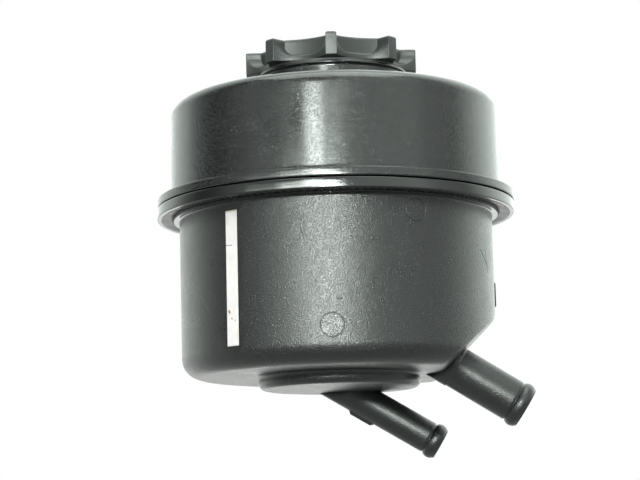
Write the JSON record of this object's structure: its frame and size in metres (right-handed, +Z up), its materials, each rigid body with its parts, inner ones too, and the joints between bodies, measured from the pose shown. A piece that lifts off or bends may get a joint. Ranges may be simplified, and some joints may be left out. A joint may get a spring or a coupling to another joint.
{
  "type": "power steering reservoir",
  "caption": "Round welded plastic reservoir for steering fluid, with a flange round its middle, beaded hose spigots, a star grip cap with dipstick and a sprung filter inside.",
  "frame": {"origin": "on the bowls' axis, in the plane of the flange's underside, where the bracket's band stops against the flange", "axes": "+Z up along the bowls' axis towards the cap, +X towards the side that both hose spigots point to, -Y towards the front with the strip label"},
  "size_m": [0.143, 0.137, 0.1575],
  "materials": {
    "bowl_plastic": "grained black glass-filled nylon, satin",
    "cap_plastic": "black nylon, satin",
    "label_film": "white film, matt, a little soiled",
    "seal_rubber": "matt",
    "magnet": "matt ferrite",
    "filter_plastic": "natural nylon, satin",
    "filter_screen": "fine woven screen",
    "valve_plastic": "satin",
    "inner_plastic": "satin",
    "spring_steel": "drawn wire, bright",
    "dipstick_plastic": "natural nylon, satin"
  },
  "bodies": {
    "housing": {"lower_bowl": "bowl_plastic", "upper_bowl": "bowl_plastic", "strip_label": "label_film", "foot_seal": "seal_rubber", "sump_magnet": "magnet", "filter_lower_end": "filter_plastic", "filter_cage": "filter_plastic", "filter_mesh": "filter_screen", "filter_upper_end": "filter_plastic", "bypass_spring": "spring_steel", "bypass_bridge": "filter_plastic", "splash_baffle": "inner_plastic", "hold_down_spring": "spring_steel"},
    "bypass_valve": {"bypass_poppet": "valve_plastic"},
    "cap_ring": {"cap_seal": "seal_rubber"},
    "cap": {"cap_grip": "cap_plastic", "vent_plate": "filter_plastic", "vent_spring": "spring_steel", "dipstick_socket": "filter_plastic", "dipstick": "dipstick_plastic"},
    "vent_valve": {"vent_disc": "seal_rubber"}
  },
  "joints": [
    {"name": "bypass_lift", "type": "slide", "parent": "housing", "child": "bypass_valve", "axis": [0, 0, 1], "range_m": [0, 0.003], "stiffness_N_per_m": 500, "springref_m": -0.004, "deforming": ["bypass_spring"]},
    {"name": "cap_lift", "type": "slide", "parent": "housing", "child": "cap_ring", "axis": [0, 0, 1], "range_m": [0, 0.06]},
    {"name": "cap_turn", "type": "hinge", "parent": "cap_ring", "child": "cap", "pos_m": [0, 0, 0.0569], "axis": [0, 0, 1], "range_deg": [0, 90]},
    {"name": "vent_lift", "type": "slide", "parent": "cap", "child": "vent_valve", "axis": [0, 0, 1], "range_m": [0, 0.0015], "stiffness_N_per_m": 100, "springref_m": -0.003, "deforming": ["vent_spring"]}
  ]
}
